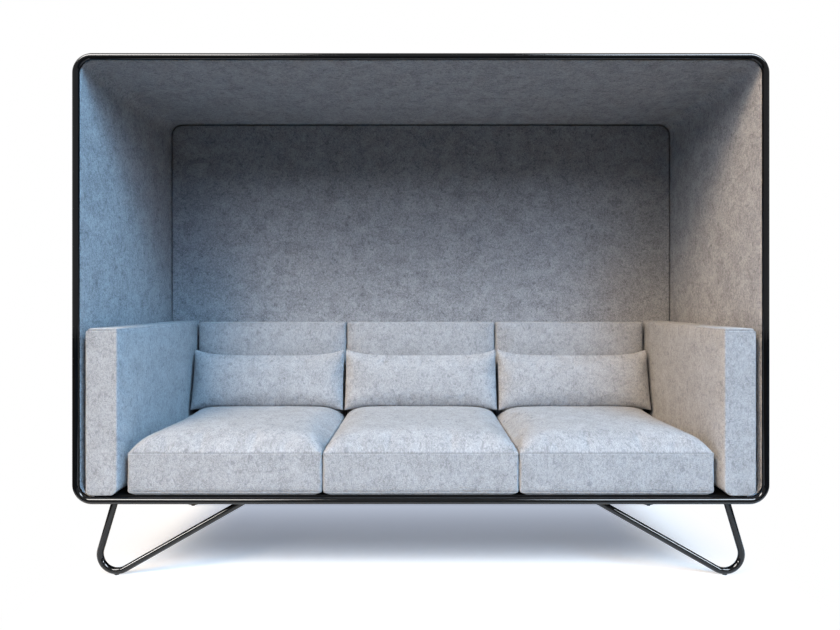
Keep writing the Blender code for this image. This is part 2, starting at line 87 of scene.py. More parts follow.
def add(tree, kind, inputs=None, **settings):
    """Adds a node with its settings; an input is a value, or the socket that is linked to it."""
    node = tree.nodes.new(kind)
    for name, value in settings.items():
        setattr(node, name, value)
    for key, value in (inputs or {}).items():
        if isinstance(value, bpy.types.NodeSocket):
            tree.links.new(value, node.inputs[key])
        else:
            node.inputs[key].default_value = value
    return node


def new_material(name):
    """A material with its node tree and its shader."""
    material = bpy.data.materials.new(name)
    material.use_nodes = True
    return material, material.node_tree, material.node_tree.nodes["Principled BSDF"]


def new_tree(name, inputs):
    """An empty geometry tree with named inputs and one geometry output, and its input node."""
    tree = bpy.data.node_groups.new(name, "GeometryNodeTree")
    for label, kind in inputs:
        tree.interface.new_socket(name=label, in_out="INPUT", socket_type=f"NodeSocket{kind}")
    tree.interface.new_socket(name="Made", in_out="OUTPUT", socket_type="NodeSocketGeometry")
    return tree, add(tree, "NodeGroupInput").outputs


def close_tree(tree, made, finish):
    """Ends a geometry tree: instances made real, and the finish put on."""
    real = add(tree, "GeometryNodeRealizeInstances", {"Geometry": made})
    painted = add(tree, "GeometryNodeSetMaterial", {
        "Geometry": real.outputs[0], "Material": finish})
    add(tree, "NodeGroupOutput", {"Made": painted.outputs[0]})


def smooth_sides(mesh, angle=40):
    """Shades a mesh smooth, but for edges sharper than the angle."""
    mesh.shade_smooth()
    mesh.set_sharp_from_angle(angle=math.radians(angle))


def put(name, mesh, *finishes):
    """A new piece at the origin, its place in its mesh."""
    obj = bpy.data.objects.new(name, mesh)
    bpy.context.scene.collection.objects.link(obj)
    for finish in finishes:
        mesh.materials.append(finish)
    return obj


def grown(name, start, tree, **values):
    """The plain mesh that a geometry tree makes of a starting mesh."""
    obj = put(name, start)
    making = obj.modifiers.new("making", "NODES")
    making.node_group = tree
    for item in tree.interface.items_tree:
        if item.in_out == "INPUT" and item.name in values:
            making[item.identifier] = values[item.name]
    graph = bpy.context.evaluated_depsgraph_get()
    mesh = bpy.data.meshes.new_from_object(obj.evaluated_get(graph))
    obj.modifiers.remove(making)
    obj.data = mesh
    mesh.name = name
    smooth_sides(mesh)
    return obj


def lines_mesh(name, paths, closed=False):
    """Paths as bare edges, for a geometry tree to follow."""
    points, edges = [], []
    for path in paths:
        first = len(points)
        points += [tuple(point) for point in path]
        edges += [(first + i, first + i + 1) for i in range(len(path) - 1)]
        if closed:
            edges.append((len(points) - 1, first))
    mesh = bpy.data.meshes.new(name)
    mesh.from_pydata(points, edges, [])
    return mesh


# Powder coat: polyester sprayed dry and baked. A deep black with a wet gloss and a faint orange
# peel that softens each reflection's edge.
paint, tree, shader = new_material("gloss_black_powder_coat")
place = add(tree, "ShaderNodeTexCoord").outputs["Object"]
PEEL_MM = 1.6
DUST_MM = 35
peel = add(tree, "ShaderNodeTexNoise", {"Vector": place, "Scale": 1000 / PEEL_MM, "Detail": 1.0})
dust = add(tree, "ShaderNodeTexNoise", {"Vector": place, "Scale": 1000 / DUST_MM, "Detail": 5.0})
gloss = add(tree, "ShaderNodeMapRange", {
    "Value": dust.outputs["Fac"], "From Min": 0.35, "From Max": 0.7,
    "To Min": 0.05, "To Max": 0.10})
film = add(tree, "ShaderNodeMix", {0: dust.outputs["Fac"], 6: srgb("#050506"), 7: srgb("#0A0B0D")},
           data_type="RGBA")
bumps = add(tree, "ShaderNodeBump", {
    "Height": peel.outputs["Fac"], "Strength": 0.12, "Distance": 0.0001})
tree.links.new(film.outputs[2], shader.inputs["Base Color"])
tree.links.new(gloss.outputs["Result"], shader.inputs["Roughness"])
tree.links.new(bumps.outputs["Normal"], shader.inputs["Normal"])

tube_tree, given = new_tree("bent_tube", (
    ("Path", "Geometry"), ("Diameter", "Float"), ("Sides", "Int"), ("Finish", "Material")))
line = add(tube_tree, "GeometryNodeMeshToCurve", {"Mesh": given["Path"]})
half = add(tube_tree, "ShaderNodeMath", {0: given["Diameter"], 1: 0.5}, operation="MULTIPLY")
round_wall = add(tube_tree, "GeometryNodeCurvePrimitiveCircle", {
    "Resolution": given["Sides"], "Radius": half.outputs[0]}, mode="RADIUS")
wall = add(tube_tree, "GeometryNodeCurveToMesh", {
    "Curve": line.outputs[0], "Profile Curve": round_wall.outputs[0], "Fill Caps": True})
close_tree(tube_tree, wall.outputs[0], given["Finish"])

bead_tree, given = new_tree("weld_bead", (
    ("Path", "Geometry"), ("Bead", "Float"), ("Pitch", "Float"), ("Finish", "Material")))
line = add(bead_tree, "GeometryNodeMeshToCurve", {"Mesh": given["Path"]})
drops = add(bead_tree, "GeometryNodeCurveToPoints", {
    "Curve": line.outputs[0], "Length": given["Pitch"]}, mode="LENGTH")
drop = add(bead_tree, "GeometryNodeMeshIcoSphere", {"Radius": given["Bead"], "Subdivisions": 2})
beads = add(bead_tree, "GeometryNodeInstanceOnPoints", {
    "Points": drops.outputs["Points"], "Instance": drop.outputs["Mesh"]})
close_tree(bead_tree, beads.outputs[0], given["Finish"])

foot_x = leg_high.x - TUBE / 2 - FOOT_BEND
foot_z = leg_low.z + TUBE / 2 + FOOT_BEND
limb_top = leg_high.z
short_way = Vector((-math.sin(SHORT_LIMB), 0, math.cos(SHORT_LIMB)))
long_way = Vector((-math.cos(LONG_LIMB), 0, math.sin(LONG_LIMB)))
foot_path = []
for step in range(FOOT_STEPS + 1):
    angle = SHORT_LIMB - (SHORT_LIMB + math.pi / 2 + LONG_LIMB) * step / FOOT_STEPS
    bend = Vector((math.cos(angle), 0, math.sin(angle)))
    foot_path.append(Vector((foot_x, 0, foot_z)) + FOOT_BEND * bend)
short_end = foot_path[0] + short_way * ((limb_top + TUBE - foot_path[0].z) / short_way.z)
long_end = foot_path[-1] + long_way * ((limb_top + TUBE - foot_path[-1].z) / long_way.z)
leg_path = [short_end] + foot_path + [long_end]

for end in ENDS:
    for side, sign in SIDES:
        low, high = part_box(f"{end}_{side}_leg")
        leg_y = (low.y + high.y) / 2
        path = [Vector((sign * point.x, leg_y, point.z)) for point in leg_path]
        leg = grown(f"{end}_{side}_tube_leg", lines_mesh("leg_line", [path]), tube_tree,
                    Diameter=TUBE, Sides=TUBE_SIDES, Finish=paint)
        welds = []
        for way in (short_way, long_way):
            slope = Vector((sign * way.x, 0, way.z))
            foot = path[0] if way is short_way else path[-1]
            centre = foot + slope * ((limb_top - foot.z) / slope.z)
            reach = TUBE / 2 + WELD_BEAD / 3
            rim = []
            for step in range(WELD_POINTS):
                angle = 2 * math.pi * step / WELD_POINTS
                spot = Vector((reach / way.z * math.cos(angle), reach * math.sin(angle), 0))
                rim.append(centre + spot)
            welds.append(rim)
            for vert in leg.data.vertices:
                if vert.co.z > limb_top and (vert.co - foot).length < 3 * TUBE:
                    vert.co += slope * ((limb_top - vert.co.z) / slope.z)
        weld = grown(f"{end}_{side}_leg_welds", lines_mesh("weld_line", welds, closed=True),
                     bead_tree, Bead=WELD_BEAD, Pitch=WELD_PITCH, Finish=paint)
        for piece in (leg, weld):
            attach(piece, "frame")
        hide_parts(f"{end}_{side}_leg")

# Under-frame: square steel tubes below the floor board, welded to one ladder and painted with the
# legs. Button-head screws go up through them into the board.
SCREW_HEAD = 0.0105
SCREW_RISE = 0.0033
SCREW_SOCKET = 0.004
SCREW_FLOOR = 0.0018  # height of the socket's floor
SCREW_LIP = 0.0006
SCREW_SIDES = 24
SCREW_PLACES = (-0.78, -0.29, 0, 0.29, 0.78)
TINY = 1e-6  # less than any real size


def finish_nodes(finish, nodes):
    """Puts a finish on CAD nodes that keep their own mesh."""
    for node in nodes:
        materials = frame["nodes"][node].data.materials
        materials.clear()
        materials.append(finish)


def meshed(name, bm, angle=180):
    """The mesh of a bmesh, with its faces turned outwards."""
    bmesh.ops.recalc_face_normals(bm, faces=bm.faces)
    mesh = bpy.data.meshes.new(name)
    bm.to_mesh(mesh)
    bm.free()
    smooth_sides(mesh, angle)
    return mesh


finish_nodes(paint, ("front_beam", "rear_beam", "left_cross_beam", "middle_cross_beam",
                     "right_cross_beam"))

# Black zinc on the screws: a grey-black metal with a soft sheen.
zinc, tree, shader = new_material("black_zinc_screws")
place = add(tree, "ShaderNodeTexCoord").outputs["Object"]
ZINC_MM = 0.8
bloom = add(tree, "ShaderNodeTexNoise", {"Vector": place, "Scale": 1000 / ZINC_MM, "Detail": 2.0})
tone = add(tree, "ShaderNodeMix", {0: bloom.outputs["Fac"], 6: srgb("#1C1C1E"), 7: srgb("#2B2B2D")},
           data_type="RGBA")
tree.links.new(tone.outputs[2], shader.inputs["Base Color"])
shader.inputs["Metallic"].default_value = 1.0
shader.inputs["Roughness"].default_value = 0.42

# The head's half section, from the socket's floor over the dome to the bearing face
head_outline = [(0, SCREW_FLOOR), (SCREW_SOCKET / 2, SCREW_FLOOR), (SCREW_SOCKET / 2, SCREW_RISE),
                (0.0036, 0.0029), (0.0047, 0.0018), (SCREW_HEAD / 2, SCREW_LIP),
                (SCREW_HEAD / 2, 0), (0, 0)]
bm = bmesh.new()
corners = [bm.verts.new((x, 0, -z)) for x, z in head_outline]
edges = [bm.edges.new(pair) for pair in zip(corners, corners[1:])]
bmesh.ops.spin(bm, geom=corners + edges, axis=(0, 0, 1), cent=(0, 0, 0), angle=2 * math.pi,
               steps=SCREW_SIDES, use_merge=True)
bmesh.ops.remove_doubles(bm, verts=bm.verts, dist=TINY)
screw_shape = put("screw_head", meshed("screw_head", bm))

screw_tree, given = new_tree("screws", (
    ("Places", "Geometry"), ("Head", "Object"), ("Finish", "Material")))
head = add(screw_tree, "GeometryNodeObjectInfo", {"Object": given["Head"]})
heads = add(screw_tree, "GeometryNodeInstanceOnPoints", {
    "Points": given["Places"], "Instance": head.outputs["Geometry"]})
close_tree(screw_tree, heads.outputs[0], given["Finish"])

beam_low, beam_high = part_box("front_beam")
beam_y = (beam_low.y + beam_high.y) / 2
screw_points = [(x, y, beam_low.z) for y in (beam_y, -beam_y) for x in SCREW_PLACES]
screw_places = lines_mesh("screw_places", [[point] for point in screw_points])
screws = grown("under_frame_screws", screw_places, screw_tree, Head=screw_shape, Finish=zinc)
bpy.data.objects.remove(screw_shape)
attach(screws, "frame")

# Glides and beam caps: injection moulded and pressed on by hand. The glides keep the steel off the
# floor. Black nylon: a fine spark-eroded mould texture gives it a dull, even black.
nylon, tree, shader = new_material("black_moulded_nylon")
place = add(tree, "ShaderNodeTexCoord").outputs["Object"]
SPARK_MM = 0.6
grit = add(tree, "ShaderNodeTexNoise", {"Vector": place, "Scale": 1000 / SPARK_MM, "Detail": 2.0})
tone = add(tree, "ShaderNodeMix", {0: grit.outputs["Fac"], 6: srgb("#141415"), 7: srgb("#1E1E20")},
           data_type="RGBA")
bumps = add(tree, "ShaderNodeBump", {
    "Height": grit.outputs["Fac"], "Strength": 0.3, "Distance": 0.0001})
tree.links.new(tone.outputs[2], shader.inputs["Base Color"])
tree.links.new(bumps.outputs["Normal"], shader.inputs["Normal"])
shader.inputs["Roughness"].default_value = 0.48
for kind in ("glide", "beam_cap"):
    finish_nodes(nylon, [f"{end}_{side}_{kind}" for end in ENDS for side, _ in SIDES])

# Floor board: birch plywood stained black, screwed to the under-frame. The stain leaves the grain
# showing as slightly lighter lines, and the lacquer over it is matt.
stain, tree, shader = new_material("black_stained_plywood")
place = add(tree, "ShaderNodeTexCoord").outputs["Object"]
GRAIN_MM = 2.5
GRAIN_LENGTH_MM = 140
along = add(tree, "ShaderNodeMapping", {
    "Vector": place, "Scale": (1000 / GRAIN_LENGTH_MM, 1000 / GRAIN_MM, 1000 / GRAIN_MM)})
grain = add(tree, "ShaderNodeTexNoise", {"Vector": along.outputs[0], "Scale": 1.0, "Detail": 4.0})
tone = add(tree, "ShaderNodeMix", {0: grain.outputs["Fac"], 6: srgb("#050506"), 7: srgb("#0F0F10")},
           data_type="RGBA")
bumps = add(tree, "ShaderNodeBump", {
    "Height": grain.outputs["Fac"], "Strength": 0.2, "Distance": 0.0002})
tree.links.new(tone.outputs[2], shader.inputs["Base Color"])
tree.links.new(bumps.outputs["Normal"], shader.inputs["Normal"])
shader.inputs["Roughness"].default_value = 0.85
shader.inputs["Specular IOR Level"].default_value = 0.08
finish_nodes(stain, ["floor_board"])

# Cores: the boards inside walls, roof, back and arms, moulded from birch veneers, hidden by felt.
# Raw birch plywood: pale yellow-brown, with long fine grain and a dull sanded face. The front edge
# is painted black, because it shows in the chink behind the trim tube.
birch, tree, shader = new_material("sanded_birch_plywood")
place = add(tree, "ShaderNodeTexCoord").outputs["Object"]
VEIN_MM = 4
VEIN_LENGTH_MM = 220
along = add(tree, "ShaderNodeMapping", {
    "Vector": place, "Scale": (1000 / VEIN_MM, 1000 / VEIN_MM, 1000 / VEIN_LENGTH_MM)})
vein = add(tree, "ShaderNodeTexNoise", {"Vector": along.outputs[0], "Scale": 1.0, "Detail": 5.0})
tone = add(tree, "ShaderNodeMix", {0: vein.outputs["Fac"], 6: srgb("#B58E5F"), 7: srgb("#E2C79E")},
           data_type="RGBA")
PAINTED_EDGE = 0.006
painted_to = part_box("roof_core")[0].y + PAINTED_EDGE
depth = add(tree, "ShaderNodeSeparateXYZ", {"Vector": place}).outputs["Y"]
edge = add(tree, "ShaderNodeMath", {0: depth, 1: painted_to}, operation="LESS_THAN")
tone = add(tree, "ShaderNodeMix", {0: edge.outputs[0], 6: tone.outputs[2], 7: srgb("#0B0B0C")},
           data_type="RGBA")
tree.links.new(tone.outputs[2], shader.inputs["Base Color"])
shader.inputs["Roughness"].default_value = 0.6
finish_nodes(birch, ("left_wall_core", "right_wall_core", "roof_core", "back_board",
                     "left_arm_core", "right_arm_core"))

# Sleeve felt: two lengths of thick felt glued to the cores, a lining inside the arch and a cover
# outside it, both turned round the boards' front edge and tucked behind the trim tube.
cover_low, cover_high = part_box("canopy_cover")
lining_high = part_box("canopy_lining")[1]
CLEARANCE = 0.0003
FELT = cover_high.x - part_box("right_wall_core")[1].x - CLEARANCE
bend_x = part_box("floor_board")[1].x + CLEARANCE
CORNER = cover_high.x - bend_x
CORNER_STEPS = 20
FELT_PITCH = 0.022
EDGE_TURN = 0.006  # radius of the turn round the board's front edge
EDGE_STEPS = 6
LUMP = 0.0005
LUMP_SIZE = 0.11
TUFT_SHARE = 0.6  # of tufts over clouds, of hairs over both, and of hairs in the nap
HAIR_SHARE = 0.45
NAP_SHARE = 0.6


def wool_felt(name, light, dark, fibre, across_mm, along_mm):
    """Wool felt mixed from pale and dark fleece: cloudy, with small tufts drawn out along the roll,
    darker blots, no gloss and a faint bloom of loose fibre ends. Single hairs are too fine to show
    in the render, so they are drawn about three millimetres wide. A point attribute paints shade
    into the seams."""
    felt, tree, shader = new_material(name)
    cloth = add(tree, "ShaderNodeUVMap", uv_map="cloth").outputs["UV"]
    layers = []
    for across, along, detail in (
            (8 * across_mm, 6 * along_mm, 4.0), (across_mm, along_mm, 5.0),
            (across_mm / 2.6, along_mm / 3, 2.0), (2 * across_mm, 2 * along_mm, 3.0)):
        drawn = add(tree, "ShaderNodeMapping", {
            "Vector": cloth, "Location": (across, detail, 0),
            "Scale": (1000 / across, 1000 / along, 1)})
        layers.append(add(tree, "ShaderNodeTexNoise", {
            "Vector": drawn.outputs[0], "Scale": 1.0, "Detail": detail, "Roughness": 0.55,
            "Distortion": 0.6}, noise_dimensions="2D").outputs["Fac"])
    clouds, tufts, hairs, blots = layers
    coarse = add(tree, "ShaderNodeMix", {0: TUFT_SHARE, 2: clouds, 3: tufts})
    mixed = add(tree, "ShaderNodeMix", {0: HAIR_SHARE, 2: coarse.outputs[0], 3: hairs})
    spread = add(tree, "ShaderNodeMapRange", {
        "Value": mixed.outputs[0], "From Min": 0.36, "From Max": 0.64})
    ground = add(tree, "ShaderNodeMix", {0: spread.outputs[0], 6: srgb(dark), 7: srgb(light)},
                 data_type="RGBA")
    strays = add(tree, "ShaderNodeMapRange", {
        "Value": blots, "From Min": 0.56, "From Max": 0.76, "To Max": 0.55})
    colour = add(tree, "ShaderNodeMix", {
        0: strays.outputs[0], 6: ground.outputs[2], 7: srgb(fibre)}, data_type="RGBA")
    seam_shade = add(tree, "ShaderNodeAttribute", attribute_name="seam_shade").outputs["Fac"]
    # painted shade: the felt turns black-grey along the seams, as far as the point attribute says
    seam_shaded = add(tree, "ShaderNodeMix", {
        0: seam_shade, 6: colour.outputs[2], 7: srgb("#26272A")}, data_type="RGBA")
    nap = add(tree, "ShaderNodeMix", {0: NAP_SHARE, 2: tufts, 3: hairs})
    bumps = add(tree, "ShaderNodeBump", {
        "Height": nap.outputs[0], "Strength": 0.6, "Distance": 0.0016})
    tree.links.new(seam_shaded.outputs[2], shader.inputs["Base Color"])
    tree.links.new(bumps.outputs["Normal"], shader.inputs["Normal"])
    shader.inputs["Roughness"].default_value = 0.95
    shader.inputs["Specular IOR Level"].default_value = 0.2
    shader.inputs["Sheen Weight"].default_value = 0.12
    shader.inputs["Sheen Roughness"].default_value = 0.55
    return felt


sleeve_felt = wool_felt("grey_wool_felt", "#B7B8BC", "#6E6F73", "#595B60", 7, 10)


def between(low, high, pitch):
    """Places from low to high, both included, about a pitch apart."""
    count = max(1, round(abs(high - low) / pitch))
    return [low + (high - low) * step / count for step in range(count + 1)]


def arch(radius):
    """The sleeve's arch as points and the ways out of it, from the right foot over the roof."""
    top, bottom = cover_high.z - CORNER, cover_low.z + CORNER
    centres = ((bend_x, bottom), (bend_x, top), (-bend_x, top), (-bend_x, bottom))
    points = []
    for index, (x, z) in enumerate(centres):
        bend = []
        for step in range(CORNER_STEPS + 1):
            angle = math.pi / 2 * (index - 1 + step / CORNER_STEPS)
            out = Vector((math.cos(angle), 0, math.sin(angle)))
            bend.append((Vector((x, 0, z)) + radius * out, out))
        if points:
            last, out = points[-1]
            run = bend[0][0] - last
            shares = between(0, 1, FELT_PITCH / run.length)[1:-1]
            points += [(last + run * share, out) for share in shares]
        points += bend
    return points


def sleeve_sheet(name, radius, profile, visible):
    """A felt sheet round the arch. The profile is a closed loop of (y, lift outwards) pairs."""
    bm = bmesh.new()
    cloth = bm.loops.layers.uv.new("cloth")
    course = [0.0]
    for (y, lift), (next_y, next_lift) in zip(profile, profile[1:] + profile[:1]):
        course.append(course[-1] + math.hypot(next_y - y, next_lift - lift))
    run, rows, last = 0.0, [], None
    for point, out in arch(radius):
        run += (point - last).length if last else 0
        last = point
        row = []
        for y, lift in profile:
            co = point + Vector((0, y, 0))
            lump = LUMP * noise.noise(co / LUMP_SIZE) if abs(lift - visible) < TINY else 0
            row.append(bm.verts.new(co + out * (lift + lump)))
        rows.append((run, row))
    for (here, row), (there, other) in zip(rows, rows[1:]):
        for index in range(len(profile)):
            follow = (index + 1) % len(profile)
            face = bm.faces.new((row[index], row[follow], other[follow], other[index]))
            sides = (course[index], course[index + 1])
            corners = ((sides[0], here), (sides[1], here), (sides[1], there), (sides[0], there))
            for loop, uv in zip(face.loops, corners):
                loop[cloth].uv = uv
    bm.faces.new(rows[0][1])
    bm.faces.new(rows[-1][1])
    return put(name, meshed(name, bm, 50), sleeve_felt), run


for name, node, radius, rear, way in (
        ("sleeve_lining", "canopy_lining", lining_high.x - bend_x, lining_high.y, -1),
        ("sleeve_cover", "canopy_cover", CORNER - FELT, cover_high.y, 1)):
    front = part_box(node)[0].y
    tuck = way * (FELT - EDGE_TURN)
    profile = [(y, 0.0) for y in between(rear, front + EDGE_TURN, FELT_PITCH)]
    profile.append((front + EDGE_TURN, tuck))
    for step in range(EDGE_STEPS):
        angle = math.pi / 2 * step / EDGE_STEPS
        y = front + EDGE_TURN * (1 - math.cos(angle))
        profile.append((y, tuck + way * EDGE_TURN * math.sin(angle)))
    profile += [(y, way * FELT) for y in between(front + EDGE_TURN, rear, FELT_PITCH)]
    felt, length = sleeve_sheet(name, radius, profile, way * FELT)
    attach(felt, "frame")
    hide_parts(node)

# Back cover: one piece of the same felt over the back board, cut to the sleeve's rounded outline,
# glued on and sewn to the cover's edge.
back_low, back_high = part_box("back_cover")
BACK_EDGE = 0.0014  # rounding of the cut edge
BACK_PITCH = 0.03
LEAST_GAP = 0.0003  # between two lines of a mesh
AXIS_SHIFT = 1.7  # how far apart a box's sides are cut from the felt, so that none repeats another
END_SHIFT = 0.9


def near_corner(radius, steps=6):
    """Distances from a corner at which lines meet its arc at even angles."""
    angles = [math.pi / 4 * (steps - step) / steps for step in range(1, steps + 1)]
    return [radius * (1 - math.tan(angle)) for angle in angles]


def places(low, high, pitch, near):
    """Places from low to high, a pitch apart, with closer ones at set distances from both ends."""
    kept = [0.0]
    for distance in sorted(near):
        if kept[-1] + LEAST_GAP < distance < (high - low) / 2 - LEAST_GAP:
            kept.append(distance)
    first = [low + distance for distance in kept]
    last = [high - distance for distance in reversed(kept)]
    return first + between(first[-1], last[0], pitch)[1:-1] + last


def cloth_box(lines, drift=0.0):
    """A closed box of quads on three lists of places, each side with its own cloth coordinates."""
    bm = bmesh.new()
    cloth = bm.loops.layers.uv.new("cloth")
    grid = {}

    def corner(key):
        if key not in grid:
            grid[key] = bm.verts.new([lines[axis][key[axis]] for axis in range(3)])
        return grid[key]

    for axis, (across, along) in enumerate(((1, 2), (0, 2), (0, 1))):
        for end in (0, len(lines[axis]) - 1):
            outward = (end > 0) != (axis == 1)
            for i in range(len(lines[across]) - 1):
                for j in range(len(lines[along]) - 1):
                    keys = []
                    for step_i, step_j in ((0, 0), (1, 0), (1, 1), (0, 1)):
                        key = [0, 0, 0]
                        key[axis], key[across], key[along] = end, i + step_i, j + step_j
                        keys.append(tuple(key))
                    if not outward:
                        keys.reverse()
                    face = bm.faces.new([corner(key) for key in keys])
                    shift = drift + AXIS_SHIFT * axis + END_SHIFT * (end > 0)
                    for loop, key in zip(face.loops, keys):
                        loop[cloth].uv = (lines[across][key[across]] + shift,
                                          lines[along][key[along]] + shift)
    return bm, grid


def inside(point, low, high, radii):
    """How far a point of a plane lies inside a rectangle with rounded corners, and its way out.
    The radii are for the lower left, lower right, upper left and upper right corner."""
    right = point.x > (low.x + high.x) / 2
    upper = point.y > (low.y + high.y) / 2
    radius = radii[right + 2 * upper]
    sign = Vector((1 if right else -1, 1 if upper else -1))
    past_x = radius - ((high.x if right else low.x) - point.x) * sign.x
    past_y = radius - ((high.y if upper else low.y) - point.y) * sign.y
    if min(past_x, past_y) > 0:
        past = Vector((past_x, past_y))
        return radius - past.length, Vector((sign.x * past_x, sign.y * past_y)).normalized()
    if past_x > past_y:
        return radius - past_x, Vector((sign.x, 0))
    return radius - past_y, Vector((0, sign.y))


def round_off(bm, low, high, radii, edge):
    """Rounds a box seen from the front: the outline's corners, then the edges of front and rear."""
    flat_low, flat_high = low.xz, high.xz
    for vert in bm.verts:
        point = vert.co.xz
        depth, out = inside(point, flat_low, flat_high, radii)
        if depth < 0:
            point += out * depth
            depth = 0
        rear = vert.co.y > (low.y + high.y) / 2
        sunk = high.y - vert.co.y if rear else vert.co.y - low.y
        if depth < edge and sunk < edge:
            pull = edge / math.hypot(edge - depth, edge - sunk)
            point += out * (depth - edge + (edge - depth) * pull)
            sunk = edge - (edge - sunk) * pull
            vert.co.y = high.y - sunk if rear else low.y + sunk
        vert.co.x, vert.co.z = point


rim = [BACK_EDGE / 2, BACK_EDGE]
bm, _ = cloth_box([
    places(back_low.x, back_high.x, BACK_PITCH, rim + near_corner(CORNER)),
    places(back_low.y, back_high.y, FELT, rim),
    places(back_low.z, back_high.z, BACK_PITCH, rim + near_corner(CORNER))])
round_off(bm, back_low, back_high, [CORNER] * 4, BACK_EDGE)
for vert in bm.verts:
    if vert.co.y > back_high.y - BACK_EDGE / 2:
        vert.co.y += LUMP * noise.noise(vert.co / LUMP_SIZE)
back_felt = put("rear_felt", meshed("rear_felt", bm), sleeve_felt)
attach(back_felt, "frame")
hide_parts("back_cover")

# Back panel: a board with a thin foam face, wrapped in felt and fixed inside the sleeve with a dark
# joint all round. Its face swells a little between the edges.
panel_low, panel_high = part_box("back_panel")
PANEL_REACH = 0.0015  # how far the felt fills the joint round it
panel_low.x -= PANEL_REACH
panel_high += Vector((PANEL_REACH, 0, PANEL_REACH))
PANEL_EDGE = 0.006
PANEL_EASE = 0.003  # how much rounder its corners are than the lining's
PANEL_CROWN = 0.002
PANEL_PITCH = 0.03
EDGE_SHARES = (0.15, 0.4, 0.7, 1)  # where lines lie on a rounded edge
panel_felt = wool_felt("grey_wool_panel_felt", "#B6B7BB", "#6C6D71", "#55575C", 7, 8)
panel_radius = lining_high.x - FELT - bend_x + PANEL_EASE
rim = [PANEL_EDGE * share for share in EDGE_SHARES]
bm, _ = cloth_box([
    places(panel_low.x, panel_high.x, PANEL_PITCH, rim + near_corner(panel_radius)),
    places(panel_low.y, panel_high.y, PANEL_PITCH, rim),
    places(panel_low.z, panel_high.z, PANEL_PITCH, rim + near_corner(panel_radius))])
round_off(bm, panel_low, panel_high, [panel_radius] * 4, PANEL_EDGE)
panel_middle = (panel_low + panel_high) / 2
panel_half = (panel_high - panel_low) / 2
for vert in bm.verts:
    if vert.co.y < panel_low.y + PANEL_EDGE:
        u = (vert.co.x - panel_middle.x) / panel_half.x
        v = (vert.co.z - panel_middle.z) / panel_half.z
        vert.co.y += PANEL_CROWN * max(abs(u), abs(v)) ** 8
        vert.co.y += LUMP * (noise.noise(vert.co / LUMP_SIZE) + 1) / 2
panel = put("padded_back_panel", meshed("padded_back_panel", bm), panel_felt)
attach(panel, "frame")
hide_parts("back_panel")

# Trim ring: one steel tube bent to a rounded rectangle and butt welded, held to the cores' front
# edge by studs behind it. Gloss black like the legs.
ring_low, ring_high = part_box("front_ring")
RING_STEPS = 24
RING_SAG = 0.004
ring_low.z -= RING_SAG
ring_y = ring_low.y + TUBE / 2
ring_bend = CORNER - TUBE / 2
ring_path = []
for x_sign, z_sign, start in ((1, -1, -90), (1, 1, 0), (-1, 1, 90), (-1, -1, 180)):
    centre_x = x_sign * (ring_high.x - CORNER)
    centre_z = ring_high.z - CORNER if z_sign > 0 else ring_low.z + CORNER
    for step in range(RING_STEPS + 1):
        angle = math.radians(start + 90 * step / RING_STEPS)
        ring_path.append(Vector((centre_x + ring_bend * math.cos(angle), ring_y,
                                 centre_z + ring_bend * math.sin(angle))))
ring = grown("trim_ring", lines_mesh("ring_line", [ring_path], closed=True), tube_tree,
             Diameter=TUBE, Sides=TUBE_SIDES, Finish=paint)
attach(ring, "frame")
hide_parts("front_ring")

# Arms: a board sleeved in foam, with a felt cover pulled over it from above and stapled under it.
# The top panel is sewn on with a plain seam just below the edge, and the outer edge is rounder.
ARM_EDGE = 0.004
ARM_INNER_TOP = 0.006
ARM_OUTER_TOP = 0.018
ARM_INNER_FOOT = 0.028
ARM_OUTER_FOOT = 0.020
ARM_FRONT = -0.387
ARM_INNER = 0.960
ARM_OUTER = 1.0625
ARM_BOTTOM = 0.2720  # just above the trim tube
ARM_PITCH = 0.016
ARM_SEAM_DROP = 0.007
ARM_SEAM_DEPTH = 0.0018
ARM_SEAM_WIDTH = 0.0018
ARM_SWELL = 0.001
ARM_PUFF = 0.008  # how far the inner face stands out behind the front seam, and how soon
ARM_PUFF_RUN = 0.025
SIDE_FACING = 0.9  # least share across of a normal on the arm's sides
EDGE_FACING = 0.5
cushion_felt = wool_felt("grey_wool_cushion_felt", "#B5B6BA", "#868789", "#6E7075", 7, 10)
